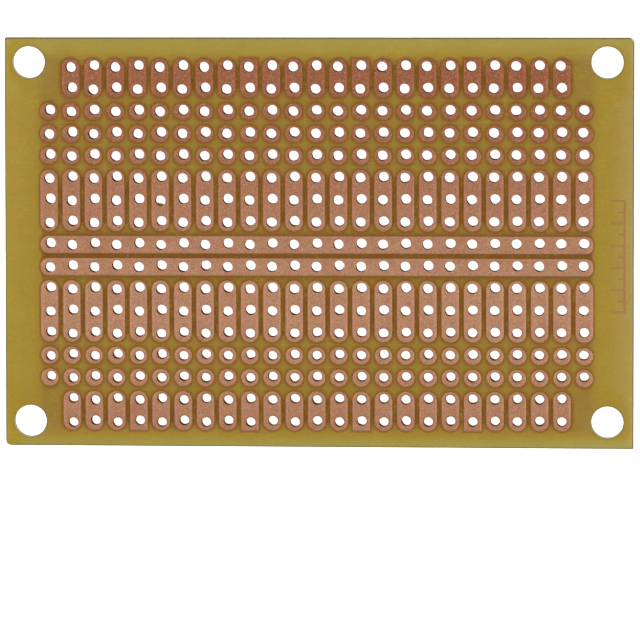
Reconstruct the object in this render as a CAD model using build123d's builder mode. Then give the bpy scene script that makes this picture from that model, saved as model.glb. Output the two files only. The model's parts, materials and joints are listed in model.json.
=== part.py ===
from build123d import *

import math
import os

# Punched prototype board: a laminate board with a grid of lead holes and, bonded on its
# upper face, separate copper lands that join the holes. Sizes are in millimetres. X runs
# along the board, Y across it and Z up. The origin is the middle of the underside.

# Laminate board, sheared on all four sides
board_length = 71.9
board_width = 46.94
laminate_thickness = 1.6
left_edge_lean = 0.10  # the left edge stands this far in at its upper end
right_edge_lean = 0.07  # the right edge stands this far in at its lower end
lower_edge_rise = 0.23  # the lower edge stands this far in at its left end
sharp_corner_radius = 0.1
upper_right_corner_radius = 0.68
lower_left_corner_radius = 0.58

# Corner holes for screws
corner_hole_diameter = 3.7
corner_hole_end_inset = 2.95
corner_hole_side_inset = 2.92
corner_hole_shift = (-0.10, 0.12)

# Lead holes. Two passes of the punch each made every other hole of the grid, and neither
# pass stands quite true to the board.
hole_pitch = 2.54
lead_hole_diameter = 1.18
least_end_margin = 5.0  # from an end of the board to the first column of holes
least_side_margin = 2.8  # from a side of the board to the first row of holes
first_pass_shift = (-0.21, 0.0)
second_pass_shift = (-0.30, -0.14)
second_pass_turn = 0.19  # degrees, anticlockwise

# A flake of laminate left in one lead hole
flake_column = 5
flake_row = 6
flake_height = 0.30
flake_turn = -10  # degrees

# Copper lands
copper_thickness = 0.035
land_gap = 0.51
land_shift = (-0.29, -0.17)
land_stretch = 1.003  # of the lands' pattern along the board
square_end_step = 5  # every fifth land of the outer pairs has a square outer end
square_end_radius = 0.15
bus_end_radius = 0.75

# Etched tick scale in the margin at the right-hand end
scale_edge_gap = 0.97
scale_line_width = 0.2
long_tick_length = 1.6
short_tick_length = 0.8
ticks_per_pitch = 2
scale_rows_above_bus = 2
scale_rows_below_bus = 3

# Rows of lands, counted from the upper side. The single rings take the rows that are left.
pair_rows = 2
triple_rows = 3
columns = 1 + int((board_length - 2 * least_end_margin) // hole_pitch)
rows = 1 + int((board_width - 2 * least_side_margin) // hole_pitch)
ring_rows = rows - 2 * pair_rows - 2 * triple_rows - 2
lower_ring_rows = ring_rows // 2
upper_ring_rows = ring_rows - lower_ring_rows
first_upper_triple_row = pair_rows + upper_ring_rows
upper_bus_row = first_upper_triple_row + triple_rows
lower_bus_row = upper_bus_row + 1
first_lower_triple_row = lower_bus_row + 1
first_lower_ring_row = first_lower_triple_row + triple_rows
first_lower_pair_row = first_lower_ring_row + lower_ring_rows

land_width = hole_pitch - land_gap


def grid_place(column, row, column_pitch):
    """X and Y of a place on a grid that is centred on the board."""
    x = (column - (columns - 1) / 2) * column_pitch
    y = ((rows - 1) / 2 - row) * hole_pitch
    return x, y


def hole_place(column, row):
    """Middle of a lead hole, as the pass of the punch that made it left it."""
    x, y = grid_place(column, row, hole_pitch)
    if (column + row) % 2 == 0:
        return x + first_pass_shift[0], y + first_pass_shift[1]
    cosine = math.cos(math.radians(second_pass_turn))
    sine = math.sin(math.radians(second_pass_turn))
    turned_x = x * cosine - y * sine
    turned_y = x * sine + y * cosine
    return turned_x + second_pass_shift[0], turned_y + second_pass_shift[1]


def land_place(column, row):
    """Middle of the copper around a hole, where the etched pattern puts it."""
    x, y = grid_place(column, row, hole_pitch * land_stretch)
    return x + land_shift[0], y + land_shift[1]


def row_columns(row):
    """Columns in a row: the outer rows stop one short, to clear the corner holes."""
    if row < pair_rows or row >= first_lower_pair_row:
        return range(1, columns - 1)
    return range(columns)


def holes_between(first, last):
    """Middles of the holes from one (column, row) place to another."""
    return [
        hole_place(column, row)
        for row in range(first[1], last[1] + 1)
        for column in range(first[0], last[0] + 1)
    ]


def draw_land(first, last, last_end_radius=None):
    """Outline of a land from the place of its first hole to the place of its last. Its
    ends are half round, or its last end has the corner radius that is given."""
    start_x, start_y = land_place(*first)
    end_x, end_y = land_place(*last)
    run = math.hypot(end_x - start_x, end_y - start_y)
    heading = math.degrees(math.atan2(end_y - start_y, end_x - start_x))
    middle = Location(((start_x + end_x) / 2, (start_y + end_y) / 2, 0), (0, 0, heading))
    with Locations(middle):
        if run == 0:
            Circle(land_width / 2)
        else:
            SlotCenterToCenter(run, land_width)
    if last_end_radius is not None:
        half_length = (run + land_width) / 2
        with Locations(middle):
            with Locations((half_length / 2, 0)):
                RectangleRounded(half_length, land_width, last_end_radius)


def make_lands(name, lands):
    """One node of copper lands, each given as draw_land takes it."""
    with BuildPart() as copper:
        with BuildSketch(Plane.XY.offset(laminate_thickness)):
            for land in lands:
                draw_land(*land)
            for land in lands:
                first, last = sorted(land[:2])
                with Locations(*holes_between(first, last)):
                    Circle(lead_hole_diameter / 2, mode=Mode.SUBTRACT)
        extrude(amount=copper_thickness)
    copper.part.label = name
    export_step(copper.part, f"parts/{name}.step")


def ring_lands(first_row, row_count):
    """Single-hole lands of some whole rows."""
    places = [
        (column, row)
        for row in range(first_row, first_row + row_count)
        for column in row_columns(row)
    ]
    return [(place, place) for place in places]


def pair_lands(inner_row, outer_row):
    """Two-hole lands along a side of the board, some with a square outer end."""
    lands = []
    for column in row_columns(outer_row):
        is_square = column % square_end_step == square_end_step - 1
        end_radius = square_end_radius if is_square else None
        lands.append(((column, inner_row), (column, outer_row), end_radius))
    return lands


def make_laminate():
    """The laminate board with its corner holes and all of its lead holes."""
    right = board_length / 2
    upper = board_width / 2
    upper_left = (-right + left_edge_lean, upper)
    upper_right = (right, upper)
    lower_right = (right - right_edge_lean, -upper)
    lower_left = (-right, -upper + lower_edge_rise)
    corner_radii = {
        upper_left: sharp_corner_radius,
        upper_right: upper_right_corner_radius,
        lower_right: sharp_corner_radius,
        lower_left: lower_left_corner_radius,
    }
    with BuildPart() as board:
        with BuildSketch() as outline:
            with BuildLine():
                Polyline(*corner_radii, close=True)
            make_face()
            for corner, radius in corner_radii.items():
                fillet(outline.vertices().sort_by_distance(corner)[0], radius)
            with Locations(corner_hole_shift):
                with GridLocations(
                    board_length - 2 * corner_hole_end_inset,
                    board_width - 2 * corner_hole_side_inset,
                    2,
                    2,
                ):
                    Circle(corner_hole_diameter / 2, mode=Mode.SUBTRACT)
            holes = [hole_place(column, row) for row in range(rows) for column in row_columns(row)]
            with Locations(*holes):
                Circle(lead_hole_diameter / 2, mode=Mode.SUBTRACT)
        extrude(amount=laminate_thickness)
        with BuildSketch() as flake:
            with Locations(Location((*hole_place(flake_column, flake_row), 0), (0, 0, flake_turn))):
                Circle(lead_hole_diameter / 2)
                with Locations((0, flake_height)):
                    Rectangle(lead_hole_diameter, lead_hole_diameter, mode=Mode.SUBTRACT)
        extrude(amount=laminate_thickness)
    board.part.label = "board_laminate"
    export_step(board.part, "parts/board_laminate.step")


def make_tick_scale():
    """A short scale of etched ticks that stand level with the rows of holes."""
    line_x = board_length / 2 - scale_edge_gap - scale_line_width / 2
    upper_y = land_place(0, upper_bus_row - scale_rows_above_bus)[1]
    lower_y = land_place(0, lower_bus_row - 1 + scale_rows_below_bus)[1]
    tick_step = hole_pitch / ticks_per_pitch
    tick_count = 1 + round((upper_y - lower_y) / tick_step)
    with BuildPart() as scale:
        with BuildSketch(Plane.XY.offset(laminate_thickness)):
            with Locations((line_x, (upper_y + lower_y) / 2)):
                Rectangle(scale_line_width, upper_y - lower_y + scale_line_width)
            for tick in range(tick_count):
                is_long = tick % ticks_per_pitch == 0
                length = long_tick_length if is_long else short_tick_length
                with Locations((line_x + scale_line_width / 2, lower_y + tick * tick_step)):
                    Rectangle(length, scale_line_width, align=(Align.MAX, Align.CENTER))
        extrude(amount=copper_thickness)
    scale.part.label = "etched_tick_scale"
    export_step(scale.part, "parts/etched_tick_scale.step")


os.makedirs("parts", exist_ok=True)
make_laminate()
make_tick_scale()
make_lands("bus_strip_upper", [((0, upper_bus_row), (columns - 1, upper_bus_row), bus_end_radius)])
make_lands("bus_strip_lower", [((0, lower_bus_row), (columns - 1, lower_bus_row), bus_end_radius)])
make_lands("ring_lands_upper", ring_lands(pair_rows, upper_ring_rows))
make_lands("ring_lands_lower", ring_lands(first_lower_ring_row, lower_ring_rows))
make_lands("pair_lands_upper", pair_lands(pair_rows - 1, 0))
make_lands("pair_lands_lower", pair_lands(first_lower_pair_row, rows - 1))
for column in range(columns):
    for side, first_row in (("upper", first_upper_triple_row), ("lower", first_lower_triple_row)):
        land = ((column, first_row), (column, first_row + triple_rows - 1))
        make_lands(f"triple_land_{side}_{column + 1:02d}", [land])
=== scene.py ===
"""Finish of a punched prototype board: its laminate, its copper lands and the stage they lie on."""

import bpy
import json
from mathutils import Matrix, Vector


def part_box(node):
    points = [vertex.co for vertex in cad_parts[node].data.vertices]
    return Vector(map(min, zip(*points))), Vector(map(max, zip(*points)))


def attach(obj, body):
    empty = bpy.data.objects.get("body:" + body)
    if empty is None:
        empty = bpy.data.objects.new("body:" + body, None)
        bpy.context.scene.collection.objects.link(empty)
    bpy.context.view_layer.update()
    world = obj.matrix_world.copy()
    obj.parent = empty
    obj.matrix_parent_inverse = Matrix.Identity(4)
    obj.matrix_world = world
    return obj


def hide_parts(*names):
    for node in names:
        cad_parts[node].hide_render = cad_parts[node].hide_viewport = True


bl_info = {
    "name": "Prototype Board",
    "version": (1, 0, 0),
    "blender": (4, 5, 0),
    "location": "View3D > Sidebar > Board",
    "description": "Builds and finishes a punched laminate board with copper lands on one face",
    "category": "Object",
}

import json
import math
from collections import namedtuple

import bmesh
import bpy
from mathutils import Color, Matrix, Vector, noise

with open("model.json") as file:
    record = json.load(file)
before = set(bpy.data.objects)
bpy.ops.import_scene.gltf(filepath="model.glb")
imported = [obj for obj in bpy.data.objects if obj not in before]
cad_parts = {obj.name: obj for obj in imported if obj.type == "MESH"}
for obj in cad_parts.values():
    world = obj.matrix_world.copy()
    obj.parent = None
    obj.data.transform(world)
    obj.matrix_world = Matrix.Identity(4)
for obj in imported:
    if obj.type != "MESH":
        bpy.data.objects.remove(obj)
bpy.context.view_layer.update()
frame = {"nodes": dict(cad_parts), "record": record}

MM = 0.001
MERGE = 1e-6  # corners closer than this, in metres, are one corner
BOARD = "board_laminate"
TICK_SCALE = "etched_tick_scale"
STRIP_CORNER = 0.8  # corner radius of a bus strip, in millimetres
HOLE_SIDES = 20
CORNER_HOLE_SIDES = 64
COPPER_NODES = sorted(name for name in frame["nodes"] if name != BOARD)
OUTLINE_CUTS = 70  # extra points along each long side of the board, for its uneven edge
FLAKE_LOW = 0.08 * MM  # height of the flake's lower face
FLAKE_THINNING = 0.3 * MM  # how much thinner than the laminate the flake is
FLAKE_WHOLE = 0.62  # share of the flake's edge that isn't chipped away
FLAKE_CHIP_SLOPE = 0.9  # fall of the chip across the flake, for each unit along it
FLOOR_GAP = 0.05 * MM  # from the floor up to the board
CAMERA_TARGET = Vector((0.11, -8.70, 1.6)) * MM
CAMERA_X = 51 * MM
CAMERA_Y = 73 * MM
WORLD_STRENGTH = 0.40
LIGHT_SIZE = 0.40
LIGHTS = (
    ("light_left", (-0.44, 0.18, 0.46)),
    ("light_right", (0.44, -0.12, 0.46)),
)

# Tints that are laid thinly over a finish, as display colours
DARK_FIBRE = (0.25, 0.17, 0.04)
PALE_FIBRE = (0.86, 0.78, 0.36)
DARK_SPECK = (0.45, 0.2, 0.12)
PALE_SPECK = (1.0, 0.86, 0.7)
GLINT = (1.0, 0.9, 0.8)
BORE_SHADE = (0.16, 0.09, 0.03)

STAINS = ((10.3, -6.9), (7.9, -6.4))  # places of the orange stains, in millimetres
NICKS = ((6.42, 19.73), (6.72, 19.85), (6.96, 19.74))  # places along one torn spot, likewise

Loop = namedtuple("Loop", "points middle radius")
Field = namedtuple("Field", "first last columns rows half_run radius")


# ---------------------------------------------------------------- what the frame says


def hole_radius(mount_name):
    """Radius of the holes that a mount of the record stands for, in metres."""
    for mount in frame["record"]["mounts"]:
        if mount["name"] == mount_name:
            return mount["dims"]["hole_r_mm"] * MM
    raise RuntimeError(f"the record has no mount named {mount_name}")


LEAD_RADIUS = hole_radius("lead_hole_field")
CORNER_RADIUS = hole_radius("corner_screws")


def is_rim(edge, top):
    """Whether an edge lies between the upper face of a node and one of its walls."""
    if any(abs(v.co.z - top) > MERGE for v in edge.verts):
        return False
    return sum(f.normal.z > 0.5 for f in edge.link_faces) == 1


def rim_loops(node):
    """Closed loops round the upper face of a CAD node: its outlines and its holes."""
    bm = bmesh.new()
    bm.from_mesh(frame["nodes"][node].data)
    bmesh.ops.remove_doubles(bm, verts=bm.verts, dist=MERGE)
    bm.normal_update()
    top = max(v.co.z for v in bm.verts)
    left = {e for e in bm.edges if is_rim(e, top)}
    loops = []
    while left:
        edge = left.pop()
        start, corner = edge.verts
        points = [start.co.copy()]
        while corner != start:
            points.append(corner.co.copy())
            edge = next(e for e in corner.link_edges if e in left)
            left.remove(edge)
            corner = edge.other_vert(corner)
        low = Vector(min(p[i] for p in points) for i in range(3))
        high = Vector(max(p[i] for p in points) for i in range(3))
        half_width = max(high.x - low.x, high.y - low.y) / 2
        loops.append(Loop(points, (low + high) / 2, half_width))
    bm.free()
    return sorted(loops, key=lambda loop: (round(loop.middle.y, 5), loop.middle.x))


def is_lead_hole(loop):
    """Whether a loop is one of the small punched holes."""
    return loop.radius < 1.1 * LEAD_RADIUS


LOOPS = {name: rim_loops(name) for name in [BOARD, *COPPER_NODES]}
LANDS = {
    name: [loop for loop in LOOPS[name] if not is_lead_hole(loop)] for name in COPPER_NODES
}
LEAD_HOLES = [loop for name in COPPER_NODES for loop in LOOPS[name] if is_lead_hole(loop)]
BOARD_LOW, BOARD_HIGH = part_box(BOARD)
BOARD_TOP = BOARD_HIGH.z
COPPER_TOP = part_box("bus_strip_upper")[1].z


def triple_nodes(side):
    """Nodes of the triple lands on one side of the strips."""
    return [name for name in COPPER_NODES if name.startswith(f"triple_land_{side}")]


def land_box(names):
    """Lowest and highest corner of the lands of some nodes."""
    boxes = [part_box(name) for name in names]
    low = Vector(min(box[0][i] for box in boxes) for i in range(3))
    high = Vector(max(box[1][i] for box in boxes) for i in range(3))
    return low, high


PATTERN_LOW, PATTERN_HIGH = land_box([name for name in COPPER_NODES if name != TICK_SCALE])


def longest_edge(loop):
    """The two ends of the longest straight stretch of a loop."""
    pairs = zip(loop.points, loop.points[1:] + loop.points[:1])
    return max(pairs, key=lambda pair: (pair[1] - pair[0]).length)


def is_inside(hole, outline):
    """Whether a hole lies within the box round an outline."""
    low_x, high_x = (f(p.x for p in outline.points) for f in (min, max))
    low_y, high_y = (f(p.y for p in outline.points) for f in (min, max))
    return low_x < hole.middle.x < high_x and low_y < hole.middle.y < high_y


def reach(loop):
    """How far the farthest point of a loop is from its middle."""
    return max((p - loop.middle).length for p in loop.points)


def land_field(lands):
    """What repeats in some lands, in millimetres: the middles of the first and the last
    land, the number of columns and rows, and a land's half run and end radius."""
    xs = sorted(land.middle.x for land in lands)
    ys = sorted(land.middle.y for land in lands)
    columns = 1 + sum(b - a > LEAD_RADIUS for a, b in zip(xs, xs[1:]))
    rows = 1 + sum(b - a > LEAD_RADIUS for a, b in zip(ys, ys[1:]))
    land = lands[0]
    width, depth = (
        max(p[i] for p in land.points) - min(p[i] for p in land.points) for i in range(2)
    )
    half_run = abs(depth - width) / 2
    first = Vector((xs[0], ys[0]))
    last = Vector((xs[-1], ys[-1]))
    return Field(first / MM, last / MM, columns, rows, half_run / MM, min(width, depth) / 2 / MM)


# ---------------------------------------------------------------- shader maths


def linear(colour):
    """A display colour as the shader's own linear colour, with its alpha."""
    return (*Color(colour[:3]).from_srgb_to_scene_linear(), 1.0)


class Value:
    """One number over a surface. Reckoning with it adds Math nodes to its shader."""

    def __init__(self, shader, socket):
        self.shader = shader
        self.socket = socket

    def maths(self, operation, *others):
        return self.shader.maths(operation, self, *others)

    def __add__(self, other):
        return self.maths("ADD", other)

    def __sub__(self, other):
        return self.maths("SUBTRACT", other)

    def __mul__(self, other):
        return self.maths("MULTIPLY", other)

    def __truediv__(self, other):
        return self.maths("DIVIDE", other)

    def __neg__(self):
        return self.maths("MULTIPLY", -1.0)

    def __abs__(self):
        return self.maths("ABSOLUTE")

    __radd__ = __add__
    __rmul__ = __mul__

    def __rsub__(self, other):
        return self.shader.maths("SUBTRACT", other, self)

    def root(self):
        return self.maths("SQRT")

    def round(self):
        return self.maths("ROUND")

    def least(self, other):
        return self.maths("MINIMUM", other)

    def most(self, other):
        return self.maths("MAXIMUM", other)

    def fade(self, start, end):
        """0 at start and 1 at end, with a smooth change between. Start may be the larger."""
        settings = {"interpolation_type": "SMOOTHSTEP"}
        inputs = {"Value": self, "From Min": start, "From Max": end}
        return self.shader.node("ShaderNodeMapRange", settings, inputs)


class Shader:
    """A material under construction, on object coordinates in millimetres."""

    def __init__(self, name):
        self.material = bpy.data.materials.new(name)
        self.material.use_nodes = True
        self.tree = self.material.node_tree
        self.surface = self.tree.nodes["Principled BSDF"]
        objects = self.node("ShaderNodeTexCoord", output="Object")
        self.place = self.node(
            "ShaderNodeVectorMath", {"operation": "SCALE"}, {0: objects, "Scale": 1 / MM}
        )
        parts = self.tree.nodes.new("ShaderNodeSeparateXYZ")
        self.tree.links.new(self.place.socket, parts.inputs[0])
        self.x, self.y, self.z = (Value(self, socket) for socket in parts.outputs)

    def node(self, kind, settings=None, inputs=None, output=0):
        """Adds a node and gives one of its outputs. Settings are set first, then the inputs."""
        made = self.tree.nodes.new(kind)
        for name, setting in (settings or {}).items():
            setattr(made, name, setting)
        for name, value in (inputs or {}).items():
            self.feed(made.inputs[name], value)
        return Value(self, made.outputs[output])

    def feed(self, socket, value):
        if isinstance(value, Value):
            self.tree.links.new(value.socket, socket)
        else:
            socket.default_value = value

    def maths(self, operation, *values):
        return self.node("ShaderNodeMath", {"operation": operation}, dict(enumerate(values)))

    def mix(self, a, b, factor):
        """Colour a with colour b over it, as strongly as factor says."""
        a, b = (linear(c) if not isinstance(c, Value) else c for c in (a, b))
        settings = {"data_type": "RGBA", "blend_type": "MIX"}
        return self.node("ShaderNodeMix", settings, {0: factor, 6: a, 7: b}, output=2)

    def grain(self, size, stretch=(1, 1, 1), detail=2.0, shift=0.0):
        """Noise from -1 to 1 with features of a size in millimetres, longer by stretch."""
        scaled = self.node(
            "ShaderNodeVectorMath",
            {"operation": "MULTIPLY_ADD"},
            {0: self.place, 1: [1 / (size * s) for s in stretch], 2: [shift] * 3},
        )
        inputs = {"Vector": scaled, "Scale": 1.0, "Detail": detail, "Roughness": 0.55}
        return self.node("ShaderNodeTexNoise", None, inputs) * 2 - 1

    def attribute(self, name):
        return self.node("ShaderNodeAttribute", {"attribute_name": name}, output="Fac")

    def bump(self, height, distance, strength, normal=None):
        """Normal of a surface whose height changes by up to distance, in metres."""
        inputs = {"Height": height, "Distance": distance, "Strength": strength}
        if normal is not None:
            inputs["Normal"] = normal
        return self.node("ShaderNodeBump", None, inputs)

    def finish(self, **inputs):
        """Feeds the surface's own sockets, named with underscores for spaces."""
        for name, value in inputs.items():
            self.feed(self.surface.inputs[name.replace("_", " ")], value)
        return self.material


def field_distance(shader, field):
    """Distance in millimetres from the nearest land of a field, negative on the land."""
    across = shader.x - field.first.x
    if field.columns > 1:
        step = (field.last.x - field.first.x) / (field.columns - 1)
        nearest = (across / step).round().most(0).least(field.columns - 1)
        across = across - nearest * step
    along = shader.y - field.first.y
    if field.rows > 1:
        step = (field.last.y - field.first.y) / (field.rows - 1)
        nearest = (along / step).round().most(0).least(field.rows - 1)
        along = along - nearest * step
    along = (abs(along) - field.half_run).most(0)
    return (across * across + along * along).root() - field.radius


def square_distance(shader, name, outward):
    """Distance in millimetres from the nearest square outer end in a row of pair lands, which
    points along Y by outward, 1 or -1. It is negative on the end."""
    squares = [land for land in LANDS[name] if reach(land) > 1.02 * land.radius]
    field = land_field(squares)
    across = shader.x - field.first.x
    step = (field.last.x - field.first.x) / (field.columns - 1)
    across = across - (across / step).round().most(0).least(field.columns - 1) * step
    along = (shader.y - field.first.y) * outward
    return abs(across).most(along - field.half_run).most(-along) - field.radius


def strip_distance(shader, name):
    """Distance in millimetres from a bus strip, negative on it."""
    low, high = (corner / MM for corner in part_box(name))
    middle = (low + high) / 2
    run = (high - low) / 2 - Vector((STRIP_CORNER, STRIP_CORNER, 0))
    across = (abs(shader.x - middle.x) - run.x).most(0)
    along = (abs(shader.y - middle.y) - run.y).most(0)
    return (across * across + along * along).root() - STRIP_CORNER


def slot_mask(shader):
    """1 in the long slots beside the runs of the lands and between the strips, 0 elsewhere."""
    runs = [land_box([name]) for name in ("pair_lands_upper", "pair_lands_lower")]
    runs += [land_box(triple_nodes(side)) for side in ("upper", "lower")]
    strips = [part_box(name) for name in ("bus_strip_upper", "bus_strip_lower")]
    end = LANDS["ring_lands_upper"][0].radius / MM
    mask = 0.0
    for low, high in runs:
        middle, half = (low + high) / 2 / MM, (high - low) / 2 / MM
        beside = (half.x - abs(shader.x - middle.x)).fade(-0.2, 0.1)
        mask = mask + beside * (half.y - end * 0.85 - abs(shader.y - middle.y)).fade(-0.4, 0.3)
    middle = sum(corner.y for box in strips for corner in box) / 4 / MM
    from_middle = abs(shader.y - middle)
    beyond = abs(from_middle - (strips[0][1].y / MM - middle) - 0.25).fade(0.6, 0.1)
    return (mask + (0.5 - from_middle).fade(0.0, 0.2) + beyond * 0.25).least(1.0)


def land_distance(shader):
    """Distance in millimetres from the nearest copper, negative on the copper."""
    distance = strip_distance(shader, "bus_strip_upper")
    distance = distance.least(strip_distance(shader, "bus_strip_lower"))
    for side, outward in (("upper", 1), ("lower", -1)):
        pairs = f"pair_lands_{side}"
        triples = [land for name in triple_nodes(side) for land in LANDS[name]]
        for lands in (LANDS[pairs], LANDS[f"ring_lands_{side}"], triples):
            distance = distance.least(field_distance(shader, land_field(lands)))
        distance = distance.least(square_distance(shader, pairs, outward))
    return distance


def outline_distance(shader):
    """How far in from the nearest of the board's four sides, in millimetres."""
    points = board_outline().points
    pairs = zip(points, points[1:] + points[:1])
    distance = 1000.0
    for start, end in sorted(pairs, key=lambda pair: (pair[1] - pair[0]).length)[-4:]:
        inward = (end - start).normalized().cross(Vector((0, 0, 1)))
        if inward.dot(start) > 0:
            inward = -inward
        from_side = shader.x * inward.x + shader.y * inward.y - inward.dot(start) / MM
        distance = from_side.least(distance)
    return distance


def board_outline():
    """Loop round the board itself."""
    return max(LOOPS[BOARD], key=lambda loop: loop.radius)


def corner_holes():
    """Loops of the four screw holes."""
    return [h for h in LOOPS[BOARD] if abs(h.radius - CORNER_RADIUS) < 0.1 * CORNER_RADIUS]


def corner_hole_distance(shader):
    """Distance from the nearest corner hole's rim, in millimetres."""
    corners = corner_holes()
    middle = sum((loop.middle for loop in corners), Vector()) / len(corners) / MM
    reach_x = max(loop.middle.x for loop in corners) / MM - middle.x
    reach_y = max(loop.middle.y for loop in corners) / MM - middle.y
    across = abs(shader.x - middle.x) - reach_x
    along = abs(shader.y - middle.y) - reach_y
    return (across * across + along * along).root() - CORNER_RADIUS / MM


# ---------------------------------------------------------------- settings


def length(name, description, default):
    return bpy.props.FloatProperty(
        name=name,
        description=description,
        default=default,
        min=0.0,
        precision=6,
        subtype="DISTANCE",
        unit="LENGTH",
    )


def colour(name, description, default):
    return bpy.props.FloatVectorProperty(
        name=name,
        description=description,
        default=[channel / 255 for channel in default],
        min=0.0,
        max=1.0,
        subtype="COLOR_GAMMA",
    )


def amount(name, description, default):
    return bpy.props.FloatProperty(
        name=name, description=description, default=default, min=0.0, max=1.0, subtype="FACTOR"
    )


class LaminateSettings(bpy.types.PropertyGroup):
    """Sizes and colours of the laminate."""

    edge_round: length("Edge Round", "Width of the worn edges of the board", 0.05 * MM)
    edge_wander: length("Edge Wander", "How far the shears strayed inwards along a side", 0.05 * MM)
    dip_width: length("Dip Width", "Width of the drawn-in rim of a hole at the lower side", 0.17 * MM)
    dip_depth: length("Dip Depth", "Depth of the drawn-in rim of a hole at the lower side", 0.05 * MM)
    ragged: length("Ragged", "How far a torn hole strays from round", 0.07 * MM)
    burr: length("Burr", "How far the wall of a screw hole leans in", 0.04 * MM)
    fray: length("Fray", "How far torn fibres narrow a hole at the lower side", 0.05 * MM)
    breakout: length("Breakout", "How much wider a hole is where the punch left it", 0.02 * MM)
    breakout_depth: length("Breakout Depth", "Height of the wider end of a hole", 0.35 * MM)
    flake_wear: length("Flake Wear", "How far the edge of the flake is worn back", 0.12 * MM)
    resin: colour("Resin", "Open laminate", (164, 135, 44))
    # Painted light: the laminate paler along the outer edges, where more light gets into it.
    pale_resin: colour("Pale Resin", "Laminate along the outer edges", (172, 160, 78))
    warm_resin: colour("Warm Resin", "Laminate along the left-hand edge", (170, 142, 20))
    edge_resin: colour("Edge Resin", "Laminate right at the outer edges", (158, 150, 110))
    # Painted shade: the next three colours are the laminate darkened among the lands, right beside a
    # land and in the narrow slots, where the copper keeps light out of it.
    shaded_resin: colour("Shaded Resin", "Laminate among the lands", (150, 118, 44))
    land_shade_resin: colour("Stained Resin", "Laminate right beside a land", (143, 90, 16))
    slot_resin: colour("Slot Resin", "Laminate in the narrow slots", (122, 75, 8))
    olive_resin: colour("Olive Resin", "Paler patches in the narrow slots", (138, 104, 22))
    # Partly painted shade: the sheared sides darker than the open laminate.
    cut_resin: colour("Cut Resin", "Sheared sides of the board", (112, 101, 60))
    drilled_resin: colour("Drilled Resin", "Walls of the screw holes", (176, 170, 126))
    # Painted shade: the dark walls of the lead holes stand for the shade inside them.
    punched_shade_resin: colour("Punched Resin", "Walls of the lead holes", (96, 58, 10))
    torn_resin: colour("Torn Resin", "Torn fibres in the walls of the lead holes", (132, 86, 22))
    roughness: amount("Roughness", "Roughness of the laminate's skin", 0.42)


class CopperSettings(bpy.types.PropertyGroup):
    """Sizes and colours of the copper lands."""

    rim: length("Rim", "Width of the etched edge of a land", 0.008 * MM)
    bright: colour("Bright Copper", "The cleanest foil", (188, 137, 105))
    dark_copper: colour("Tarnished Copper", "The darkest foil, along the upper side", (153, 88, 51))
    pink: colour("Pink Patches", "Pinker patches in the foil", (184, 116, 104))
    tan: colour("Tan Patches", "Yellower patches in the foil", (184, 138, 84))
    orange: colour("Orange Stain", "Stains on the foil", (190, 96, 44))
    thin: colour("Thin Copper", "Foil in the lines of the tick scale", (176, 122, 74))
    nick: colour("Nick", "The torn spot beside one hole", (40, 22, 8))
    etched: colour("Etched Rim", "Foil at the rim of a land", (146, 88, 48))
    # Painted shade on the drawn-in rim round a punched hole.
    dip_shade: colour("Bruise", "Foil drawn in around a punched hole", (168, 112, 66))
    roughness: amount("Roughness", "Roughness of the foil", 0.6)


class StageSettings(bpy.types.PropertyGroup):
    """The floor, the light and the camera."""

    floor: colour("Floor", "The floor", (255, 255, 255))
    floor_size: length("Floor Size", "Width of the floor", 1.6)
    camera_height: length("Camera Height", "Height of the camera over the floor", 0.9)
    view_width: length("View Width", "Width of floor that the camera takes in", 73.06 * MM)
    light_power: bpy.props.FloatProperty(
        name="Light Power", description="Power of each soft light", default=1.95, min=0.0, unit="POWER"
    )


# ---------------------------------------------------------------- modelling


def new_piece(name, bm, *materials):
    """Makes a mesh object of a bmesh, with its caps flat and its rims smooth."""
    bmesh.ops.recalc_face_normals(bm, faces=bm.faces)
    for face in bm.faces:
        face.smooth = abs(face.normal.z) < 0.999
    mesh = bpy.data.meshes.new(name)
    bm.to_mesh(mesh)
    bm.free()
    mesh.set_sharp_from_angle(angle=math.radians(50))
    for material in materials:
        mesh.materials.append(material)
    piece = bpy.data.objects.new(name, mesh)
    bpy.context.scene.collection.objects.link(piece)
    return piece


def punch_wear(hole):
    """How drawn-in a hole is: 0 along the upper side, rising to 1 along the lower side."""
    share = (PATTERN_HIGH.y - hole.middle.y) / (PATTERN_HIGH.y - PATTERN_LOW.y)
    share = min(max((share - 0.55) / 0.35, 0.0), 1.0)
    return share * share * (3 - 2 * share)


def punched_rim(hole):
    """Width and depth of the drawn-in rim of a hole, and how far torn fibres narrow it."""
    settings = bpy.context.scene.laminate_finish
    wear = punch_wear(hole)
    drawn = 0.25 + 0.75 * wear
    return settings.dip_width * drawn, settings.dip_depth * drawn, settings.fray * (0.1 + 0.9 * wear)


def hole_ring(hole, extra, height, stray):
    """Gives the place of a point of a hole's ring, from its direction: the ring is wider by
    extra than the punch, and strays from round by up to stray."""

    def place(direction):
        seed = (hole.middle + direction * hole.radius) / (0.55 * MM) + Vector((0, 0, height / MM))
        radius = hole.radius + extra + stray * noise.noise(seed)
        return Vector((hole.middle.x, hole.middle.y, height)) + direction * radius

    return place


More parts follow.
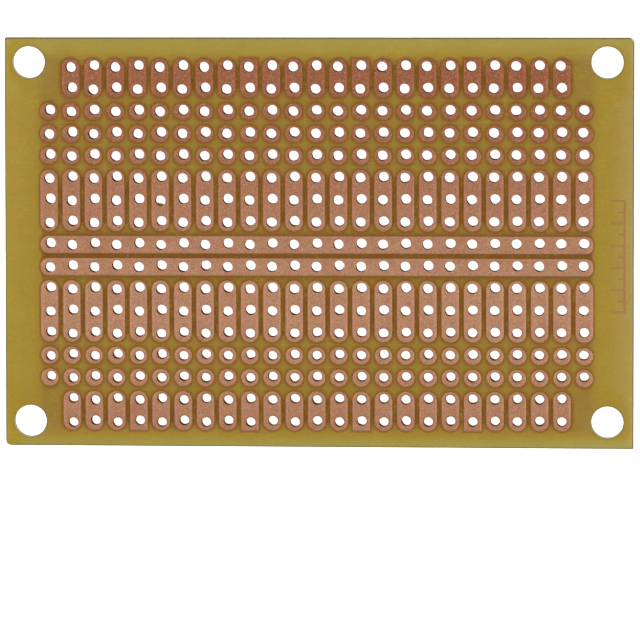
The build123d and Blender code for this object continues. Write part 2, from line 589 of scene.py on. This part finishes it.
def line_holes(bm, holes, rings_of):
    """Lines each hole with bands of faces, one between each two rings that rings_of gives, and
    returns the edges of each hole's first and last ring. A ring is (extra radius, height,
    stray, bore), and bore marks its points in the attribute of that name."""
    number = bm.verts.layers.int.get("hole") or bm.verts.layers.int.new("hole")
    bore = bm.verts.layers.float.get("bore") or bm.verts.layers.float.new("bore")
    rings = [rings_of(hole) for hole in holes]
    sides = [CORNER_HOLE_SIDES if hole.radius > 2 * LEAD_RADIUS else HOLE_SIDES for hole in holes]
    edges = []
    for index, hole in enumerate(holes):
        circle = bmesh.ops.create_circle(
            bm, segments=sides[index], radius=hole.radius, matrix=Matrix.Translation(hole.middle)
        )["verts"]
        for v in circle:
            v[number] = index
        edges.extend({e for v in circle for e in v.link_edges})
    ends = []
    for step in range(len(rings[0])):
        if step:
            made = bmesh.ops.extrude_edge_only(bm, edges=edges)["geom"]
            edges = [g for g in made if isinstance(g, bmesh.types.BMEdge) and g.is_boundary]
        for v in {v for e in edges for v in e.verts}:
            hole = holes[v[number]]
            extra, height, stray, mark = rings[v[number]][step]
            direction = v.co - hole.middle
            direction.z = 0
            v.co = hole_ring(hole, extra, height, stray)(direction.normalized())
            v[bore] = mark
        ends.append(edges)
    by_hole = [[[] for _ in holes] for _ in (0, 1)]
    for side, ring_edges in enumerate((ends[0], ends[-1])):
        for e in ring_edges:
            by_hole[side][e.verts[0][number]].append(e)
    return by_hole


def raise_slab(bm, points, low, high, rim_low, rim_high, cuts=0, shape=None):
    """Raises an outline to a slab with narrow sloping rims, open above and below, and returns
    the edges round its upper and its lower opening."""
    face = bm.faces.new([bm.verts.new((p.x, p.y, low + rim_low)) for p in points])
    if cuts:
        long_edges = [e for e in face.edges if e.calc_length() > 10 * MM]
        bmesh.ops.subdivide_edges(bm, edges=long_edges, cuts=cuts)
    if shape:
        for v in face.verts:
            v.co = shape(v.co)
    face.normal_update()
    if face.normal.z > 0:
        face.normal_flip()
    raised = bmesh.ops.extrude_face_region(bm, geom=[face])["geom"]
    lifted = [g for g in raised if isinstance(g, bmesh.types.BMVert)]
    bmesh.ops.translate(bm, vec=(0, 0, high - rim_high - low - rim_low), verts=lifted)
    upper = next(g for g in raised if isinstance(g, bmesh.types.BMFace))
    upper.normal_update()
    if upper.normal.z < 0:
        upper.normal_flip()
    for cap, rim in ((upper, rim_high), (face, rim_low)):
        if rim:
            bmesh.ops.inset_region(
                bm, faces=[cap], thickness=rim, depth=rim, use_even_offset=True, use_boundary=True
            )
    openings = [list(cap.edges) for cap in (upper, face)]
    bmesh.ops.delete(bm, geom=[upper, face], context="FACES_ONLY")
    return openings


def fill_flat(bm, edges):
    """Fills the flat between an outline and the holes in it."""
    bmesh.ops.triangle_fill(bm, use_beauty=True, use_dissolve=False, edges=edges, normal=(0, 0, 1))


def sheared(co):
    """A point of the board's outline, moved inwards as the shears strayed."""
    settings = bpy.context.scene.laminate_finish
    seed = Vector((co.x, co.y, 0)) / (6 * MM)
    fine = Vector((co.x, co.y, 0)) / (0.9 * MM)
    stray = settings.edge_wander * (0.35 * abs(noise.noise(seed)) + 0.2 * abs(noise.noise(fine)))
    half = (BOARD_HIGH - BOARD_LOW) / 2
    inward = Vector((-math.copysign(1, co.x), 0, 0))
    if half.y - abs(co.y) < half.x - abs(co.x):
        inward = Vector((0, -math.copysign(1, co.y), 0))
    return co + inward * stray


def build_laminate():
    """The punched laminate, with its drawn-in holes and the flake left in one of them."""
    settings = bpy.context.scene.laminate_finish
    outline = board_outline()
    corners = corner_holes()

    def rings_of(hole):
        if hole in corners:
            worn = settings.edge_round
            return (
                (worn, BOARD_TOP, 0.0, 0.0),
                (-settings.burr, BOARD_TOP - worn, 0.02 * MM, 0.0),
                (-settings.burr, settings.breakout_depth, 0.02 * MM, 0.0),
                (settings.breakout, 0.0, 0.04 * MM, 0.0),
            )
        width, depth, fray = punched_rim(hole)
        return (
            (width, BOARD_TOP, 0.0, 0.0),
            (-fray, BOARD_TOP - depth, settings.ragged * 0.5, 1.0),
            (-fray, settings.breakout_depth, settings.ragged, 1.0),
            (settings.breakout, 0.0, settings.ragged, 1.0),
        )

    bm = bmesh.new()
    holes = [*corners, *LEAD_HOLES]
    upper_rims, lower_rims = line_holes(bm, holes, rings_of)
    rim = settings.edge_round
    upper, lower = raise_slab(bm, outline.points, 0.0, BOARD_TOP, rim, rim, OUTLINE_CUTS, sheared)
    fill_flat(bm, upper + sum(upper_rims, []))
    fill_flat(bm, lower + sum(lower_rims, []))
    bore = bm.verts.layers.float["bore"]
    bm.normal_update()
    for face in bm.faces:
        is_wall = abs(face.normal.z) < 0.7 and all(v[bore] > 0.5 for v in face.verts)
        face.material_index = int(is_wall)
    add_flake(bm)
    return new_piece("laminate_board", bm, laminate_material(), punched_wall_material())


def add_flake(bm):
    """The splinter of laminate that closes one side of a hole, from the CAD's straight edge."""
    flaked = max(
        (loop for loop in LOOPS[BOARD] if is_lead_hole(loop)),
        key=lambda loop: (longest_edge(loop)[0] - longest_edge(loop)[1]).length,
    )
    hole = min(LEAD_HOLES, key=lambda loop: (loop.middle - flaked.middle).xy.length)
    left, right = sorted(longest_edge(flaked), key=lambda p: p.x)
    edge = (right - left).normalized()
    outward = edge.cross(Vector((0, 0, 1)))
    worn = outward * bpy.context.scene.laminate_finish.flake_wear
    chipped = (edge - outward * FLAKE_CHIP_SLOPE).normalized()
    disc = bmesh.ops.create_circle(
        bm,
        cap_ends=True,
        segments=2 * HOLE_SIDES,
        radius=hole.radius,
        matrix=Matrix.Translation((hole.middle.x, hole.middle.y, FLAKE_LOW)),
    )["verts"]
    island = list({f for v in disc for f in v.link_faces})
    for point, inward in ((left + worn, outward), (left.lerp(right, FLAKE_WHOLE), -chipped)):
        corners = {v for f in island for v in f.verts}
        edges = {e for f in island for e in f.edges}
        bmesh.ops.bisect_plane(
            bm, geom=[*corners, *edges, *island], plane_co=point, plane_no=inward, clear_inner=True
        )
        island = [f for f in bm.faces if abs(f.calc_center_median().z - FLAKE_LOW) < MERGE]
    raised = bmesh.ops.extrude_face_region(bm, geom=island)["geom"]
    lifted = [g for g in raised if isinstance(g, bmesh.types.BMVert)]
    bmesh.ops.translate(bm, vec=(0, 0, BOARD_TOP - FLAKE_THINNING), verts=lifted)


def copper_rings(hole):
    """Rings of a hole through the foil: it is drawn in as far as the laminate under it."""
    width, depth, fray = punched_rim(hole)
    ragged = bpy.context.scene.laminate_finish.ragged
    return (
        (width, COPPER_TOP, 0.0, 0.0),
        (-fray, COPPER_TOP - depth, ragged * 0.5, 1.0),
        (-fray, BOARD_TOP - depth, ragged * 0.5, 1.0),
        (width, BOARD_TOP, 0.0, 0.0),
    )


def build_lands(node, material):
    """The copper of one CAD node: each land with its etched rim and drawn-in holes."""
    rim = bpy.context.scene.copper_finish.rim
    bm = bmesh.new()
    holes = [loop for loop in LOOPS[node] if is_lead_hole(loop)]
    if holes:
        upper_rims, lower_rims = line_holes(bm, holes, copper_rings)
    for outline in LANDS[node]:
        inside = [i for i, hole in enumerate(holes) if is_inside(hole, outline)]
        upper, lower = raise_slab(bm, outline.points, BOARD_TOP, COPPER_TOP, 0.0, rim)
        for i in inside:
            upper += upper_rims[i]
            lower += lower_rims[i]
        fill_flat(bm, upper)
        fill_flat(bm, lower)
    piece = new_piece(f"foil_{node}", bm, material)
    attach(piece, "root")
    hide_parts(node)
    return piece


def build_group(prefix, material):
    """The copper of each CAD node whose name starts with prefix."""
    nodes = [name for name in COPPER_NODES if name.startswith(prefix)]
    if not nodes:
        raise RuntimeError(f"the frame has no node named {prefix}")
    for node in nodes:
        build_lands(node, material)


# ---------------------------------------------------------------- materials


def bare_copper():
    """The foil's material, made once for all of the lands."""
    return bpy.data.materials.get("bare_copper") or copper_material()


def laminate_material():
    """Translucent amber laminate: painted light makes it paler where light gets in at the edges, and
    painted shade makes it darker and redder where copper covers it or lies close by. It has a faint
    weave, and sheared and drilled sides."""
    settings = bpy.context.scene.laminate_finish
    sh = Shader("amber_laminate")
    near = land_distance(sh)
    side = outline_distance(sh)
    low, high = PATTERN_LOW / MM, PATTERN_HIGH / MM
    middle, half = (low + high) / 2, (high - low) / 2
    inside = (half.x - abs(sh.x - middle.x)).least(half.y - abs(sh.y - middle.y))
    crowd = inside.fade(-0.1, 0.4) * (slot_mask(sh) * 0.62 + 0.38)

    # Painted light: the laminate is paler along the outer edges and beyond the lands, where more light
    # gets through it.
    pale = side.fade(1.5, 0.2) * (sh.x / 300 + 0.10)
    pale = pale + sh.y.fade(high.y - 0.5, high.y + 2.0) * 0.45
    pale = pale + sh.y.fade(low.y - 0.3, low.y - 1.8) * 0.62
    paint = sh.mix(settings.resin, settings.pale_resin, pale)
    # Painted shade: the laminate is darker among the lands, and darker and redder right beside each
    # land, where the copper keeps light out of it.
    paint = sh.mix(paint, settings.shaded_resin, inside.fade(-1.0, 0.7) * 0.9)
    paint = sh.mix(paint, settings.land_shade_resin, near.fade(0.32, 0.02) * 0.85)
    # Painted shade: the narrow slots between the lands are darker still, where copper on both sides
    # keeps light out. The paler patches in them are the laminate's own tone.
    patches = sh.grain(0.8, (0.5, 1.6, 1)).fade(-0.1, 0.5) * 0.7
    slots = sh.mix(settings.slot_resin, settings.olive_resin, patches)
    paint = sh.mix(paint, slots, crowd * near.fade(0.6, 0.2))
    strips = strip_distance(sh, "bus_strip_upper").least(strip_distance(sh, "bus_strip_lower"))
    shade = strips.fade(1.2, 0.4) * inside.fade(-0.1, 0.4)
    paint = sh.mix(paint, settings.slot_resin, shade * 0.25)
    warm = side.fade(2.5, 0.2) * (BOARD_LOW.x / MM - sh.x).fade(-3.0, -1.0)
    paint = sh.mix(paint, settings.warm_resin, warm * 0.7)
    paint = sh.mix(paint, settings.edge_resin, side.fade(0.5, 0.05) * (sh.x / 300 + 0.35))
    weave = sh.grain(0.16, (16, 1, 1)) * 1.4 + sh.grain(0.16, (1, 14, 1)) * 0.7
    mottle = sh.grain(2.5) * 0.5 + sh.grain(0.5) * 0.4 + sh.grain(0.22) * 0.7 + weave * 0.3
    paint = sh.mix(paint, DARK_FIBRE, mottle.fade(0.0, 1.0) * 0.22)
    paint = sh.mix(paint, PALE_FIBRE, mottle.fade(0.0, -1.0) * 0.22)
    # Painted shade: on the lower face the laminate is darker beneath the copper, which shows through
    # it as a shadow.
    covered = near.fade(0.1, -0.25) * sh.z.fade(0.3, 0.0)
    paint = sh.mix(paint, settings.slot_resin, covered * 0.45)
    from_corner_hole = corner_hole_distance(sh)
    rim = side.least(from_corner_hole).fade(0.17, 0.06)
    layers = sh.grain(0.14, (9, 9, 1)) + sh.grain(0.3, (1, 1, 3)) * 0.5
    # The sheared sides and the rims of the corner holes are painted darker than the open laminate,
    # partly as painted shade on the upright walls. The layers in them are the laminate's own.
    cut = sh.mix(settings.cut_resin, settings.olive_resin, layers.fade(-0.5, 0.6) * 0.8)
    paint = sh.mix(paint, cut, rim)
    paint = sh.mix(paint, settings.drilled_resin, from_corner_hole.fade(0.08, 0.03) * 0.8)
    weave_bump = sh.bump(weave + sh.grain(0.4), 0.004 * MM, 0.35)
    torn = (sh.grain(0.12, (1, 1, 4)) + layers * 0.6) * side.fade(0.06, 0.0)
    normal = sh.bump(torn, 0.05 * MM, 0.8, weave_bump)
    return sh.finish(
        Base_Color=paint,
        Roughness=sh.grain(1.1) * 0.06 + settings.roughness + rim * 0.4,
        Normal=normal,
        Specular_IOR_Level=0.25,
    )


def punched_wall_material():
    """Walls of the lead holes: dull laminate, torn into upright fibres by the punch, painted dark as
    the shade inside the holes.
    """
    settings = bpy.context.scene.laminate_finish
    sh = Shader("punched_wall")
    fibres = sh.grain(0.09, (1, 1, 5), detail=3) + sh.grain(0.3, (1, 1, 0.5)) * 0.5
    # Painted shade: the dark base colour stands for the shade inside the narrow holes. The paler torn
    # fibres are the laminate's own.
    paint = sh.mix(settings.punched_shade_resin, settings.torn_resin, fibres.fade(-0.2, 0.6))
    return sh.finish(
        Base_Color=paint,
        Roughness=fibres * 0.05 + 0.9,
        Normal=sh.bump(fibres, 0.03 * MM, 0.8),
        Specular_IOR_Level=0.0,
    )


def spot(shader, x, y, half_length, half_width):
    """1 in a ragged spot at a place in millimetres, fading to 0 at its edge."""
    across = (shader.x - x) / half_length
    along = (shader.y - y) / half_width
    ragged = shader.grain(0.3) * 0.6
    return ((across * across + along * along).root() + ragged).fade(1.0, 0.4)


def thin_copper_material():
    """The fine etched lines of the tick scale: thin foil that the laminate shows through."""
    settings = bpy.context.scene.copper_finish
    sh = Shader("thin_copper")
    resin = bpy.context.scene.laminate_finish.shaded_resin
    worn = sh.grain(0.4, detail=3).fade(-0.5, 0.6)
    speckle = sh.grain(0.15, shift=4.0)
    paint = sh.mix(settings.thin, resin, worn * 0.6)
    paint = sh.mix(paint, settings.bright, speckle.fade(0.0, 0.6) * 0.3)
    return sh.finish(
        Base_Color=paint,
        Metallic=0.2,
        Roughness=speckle * 0.08 + settings.roughness,
        Normal=sh.bump(speckle, 0.004 * MM, 0.3),
    )


def copper_material():
    """Dull bare foil: mottled pink and tan, darker towards the upper side, darker round its rims, and
    with painted shade on the drawn-in rims round the punched holes."""
    settings = bpy.context.scene.copper_finish
    sh = Shader("bare_copper")
    near = land_distance(sh)
    low, high = PATTERN_LOW.y / MM, PATTERN_HIGH.y / MM
    height = (sh.y - low) / (high - low)
    # The foil is darker towards the upper side, a little more so to the right there, and a little
    # darker along the lowest lands.
    drift = (sh.x / 72) * height.fade(0.3, 1.0) * 0.18
    darkening = height.fade(0.30, 1.05) + height.fade(0.25, -0.1) * 0.35 + drift
    paint = sh.mix(settings.bright, settings.dark_copper, darkening)
    patches = sh.grain(0.45, detail=3, shift=2.0)
    paint = sh.mix(paint, settings.pink, patches.fade(0.0, 0.45) * 0.5)
    paint = sh.mix(paint, settings.tan, patches.fade(0.0, -0.45) * height.fade(1.3, 0.3) * 0.45)
    speckle = sh.grain(0.14, detail=3, shift=7.0)
    paint = sh.mix(paint, PALE_SPECK, speckle.fade(0.0, 0.5) * 0.27)
    paint = sh.mix(paint, DARK_SPECK, speckle.fade(0.0, -0.5) * 0.5)
    paint = sh.mix(paint, settings.dark_copper, sh.grain(3.0, shift=3.0).fade(0.0, 0.8) * 0.4)
    glint = near.fade(-0.3, -0.17) * near.fade(-0.04, -0.13) * height.fade(0.8, 0.4)
    paint = sh.mix(paint, GLINT, glint * 0.035)
    paint = sh.mix(paint, settings.etched, near.fade(-0.13, 0.02) * (height * 0.3 + 0.35))
    for x, y in STAINS:
        paint = sh.mix(paint, settings.orange, spot(sh, x, y, 0.45, 0.3) * 0.5)
    for x, y in NICKS:
        paint = sh.mix(paint, settings.nick, spot(sh, x, y, 0.17, 0.1) * 0.9)
    bore = sh.attribute("bore")
    # Painted shade on the drawn-in rims round the punched holes, strongest along the lower side.
    dip_shaded = bore.fade(0.0, 0.6) * height.fade(0.5, 0.15)
    paint = sh.mix(paint, settings.dip_shade, dip_shaded * 0.7)
    paint = sh.mix(paint, BORE_SHADE, bore.fade(0.75, 1.0) * 0.8)
    normal = sh.bump(speckle + sh.grain(0.5) * 0.5, 0.006 * MM, 0.4)
    return sh.finish(
        Base_Color=paint,
        Metallic=0.45,
        Roughness=speckle * 0.08 + settings.roughness,
        Normal=normal,
    )


# ---------------------------------------------------------------- operators


class BOARD_OT_laminate(bpy.types.Operator):
    """Build the punched laminate board"""

    bl_idname = "board.laminate"
    bl_label = "Laminate"

    def execute(self, context):
        piece = build_laminate()
        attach(piece, "root")
        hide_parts(BOARD)
        return {"FINISHED"}


class BOARD_OT_pair_lands(bpy.types.Operator):
    """Build the two-hole lands along both long sides"""

    bl_idname = "board.pair_lands"
    bl_label = "Pair Lands"

    def execute(self, context):
        build_group("pair_lands", bare_copper())
        return {"FINISHED"}


class BOARD_OT_ring_lands(bpy.types.Operator):
    """Build the single-hole ring lands"""

    bl_idname = "board.ring_lands"
    bl_label = "Ring Lands"

    def execute(self, context):
        build_group("ring_lands", bare_copper())
        return {"FINISHED"}


class BOARD_OT_triple_lands(bpy.types.Operator):
    """Build the three-hole lands beside the strips"""

    bl_idname = "board.triple_lands"
    bl_label = "Triple Lands"

    def execute(self, context):
        build_group("triple_land", bare_copper())
        return {"FINISHED"}


class BOARD_OT_bus_strips(bpy.types.Operator):
    """Build the two long strips along the middle"""

    bl_idname = "board.bus_strips"
    bl_label = "Bus Strips"

    def execute(self, context):
        build_group("bus_strip", bare_copper())
        return {"FINISHED"}


class BOARD_OT_tick_scale(bpy.types.Operator):
    """Build the fine tick scale at the right-hand end"""

    bl_idname = "board.tick_scale"
    bl_label = "Tick Scale"

    def execute(self, context):
        build_group(TICK_SCALE, thin_copper_material())
        return {"FINISHED"}


class BOARD_OT_stage(bpy.types.Operator):
    """Lay the floor, hang the lights and set the camera"""

    bl_idname = "board.stage"
    bl_label = "Stage"

    def execute(self, context):
        settings = context.scene.stage_finish
        lay_floor(settings)
        light_stage(settings)
        set_camera(settings)
        return {"FINISHED"}


def lay_floor(settings):
    """A pale floor just under the board, which glows a little so that it stays even."""
    bm = bmesh.new()
    bmesh.ops.create_grid(bm, x_segments=1, y_segments=1, size=settings.floor_size / 2)
    bmesh.ops.translate(bm, vec=(0, 0, BOARD_LOW.z - FLOOR_GAP), verts=bm.verts)
    mesh = bpy.data.meshes.new("floor")
    bm.to_mesh(mesh)
    bm.free()
    sh = Shader("pale_floor")
    tint = linear(settings.floor)
    mesh.materials.append(
        sh.finish(Base_Color=tint, Roughness=0.9, Emission_Color=tint, Emission_Strength=1.0)
    )
    floor = bpy.data.objects.new("floor", mesh)
    bpy.context.scene.collection.objects.link(floor)


def light_stage(settings):
    """Two large soft lights and an even pale world."""
    for name, place in LIGHTS:
        lamp = bpy.data.lights.new(name, "AREA")
        lamp.shape = "DISK"
        lamp.size = LIGHT_SIZE
        lamp.energy = settings.light_power
        light = bpy.data.objects.new(name, lamp)
        light.location = place
        light.rotation_euler = Vector(place).to_track_quat("Z", "Y").to_euler()
        bpy.context.scene.collection.objects.link(light)
    world = bpy.data.worlds.new("studio")
    world.use_nodes = True
    background = world.node_tree.nodes["Background"]
    background.inputs["Color"].default_value = (1.0, 1.0, 1.0, 1.0)
    background.inputs["Strength"].default_value = WORLD_STRENGTH
    bpy.context.scene.world = world
    bpy.context.scene.view_settings.view_transform = "Standard"


def set_camera(settings):
    """Looks down from beyond the board's upper right, with the board's sides square in view."""
    target = CAMERA_TARGET
    place = Vector((CAMERA_X, CAMERA_Y, settings.camera_height))
    back = (place - target).normalized()
    along = Vector((1, 0, 0))
    level = (along - along.project(back)).normalized()
    upright = Vector((0, 1, 0)).cross(back).normalized()
    right = (level + upright).normalized()
    turn = Matrix((right, back.cross(right), back)).transposed()
    lens = bpy.data.cameras.new("camera")
    lens.sensor_width = 36.0
    lens.lens = lens.sensor_width * (place - target).length / settings.view_width
    camera = bpy.data.objects.new("camera", lens)
    camera.matrix_world = Matrix.Translation(place) @ turn.to_4x4()
    bpy.context.scene.collection.objects.link(camera)
    bpy.context.scene.camera = camera


class BOARD_PT_sidebar(bpy.types.Panel):
    """Lists the steps that build the board"""

    bl_label = "Prototype Board"
    bl_idname = "BOARD_PT_sidebar"
    bl_space_type = "VIEW_3D"
    bl_region_type = "UI"
    bl_category = "Board"

    def draw(self, context):
        for operator in OPERATORS:
            self.layout.operator(operator.bl_idname)
        for group in SETTINGS:
            box = self.layout.box()
            for name in SETTINGS[group].__annotations__:
                box.prop(getattr(context.scene, group), name)


SETTINGS = {
    "laminate_finish": LaminateSettings,
    "copper_finish": CopperSettings,
    "stage_finish": StageSettings,
}
OPERATORS = (
    BOARD_OT_laminate,
    BOARD_OT_pair_lands,
    BOARD_OT_ring_lands,
    BOARD_OT_triple_lands,
    BOARD_OT_bus_strips,
    BOARD_OT_tick_scale,
    BOARD_OT_stage,
)


def register():
    for cls in (*SETTINGS.values(), *OPERATORS, BOARD_PT_sidebar):
        bpy.utils.register_class(cls)
    for name, group in SETTINGS.items():
        setattr(bpy.types.Scene, name, bpy.props.PointerProperty(type=group))


def unregister():
    for name in SETTINGS:
        delattr(bpy.types.Scene, name)
    for cls in (BOARD_PT_sidebar, *reversed(OPERATORS), *reversed(SETTINGS.values())):
        bpy.utils.unregister_class(cls)


def main():
    register()
    bpy.ops.board.laminate()
    bpy.ops.board.pair_lands()
    bpy.ops.board.ring_lands()
    bpy.ops.board.triple_lands()
    bpy.ops.board.bus_strips()
    bpy.ops.board.tick_scale()
    bpy.ops.board.stage()


if __name__ == "__main__":
    main()
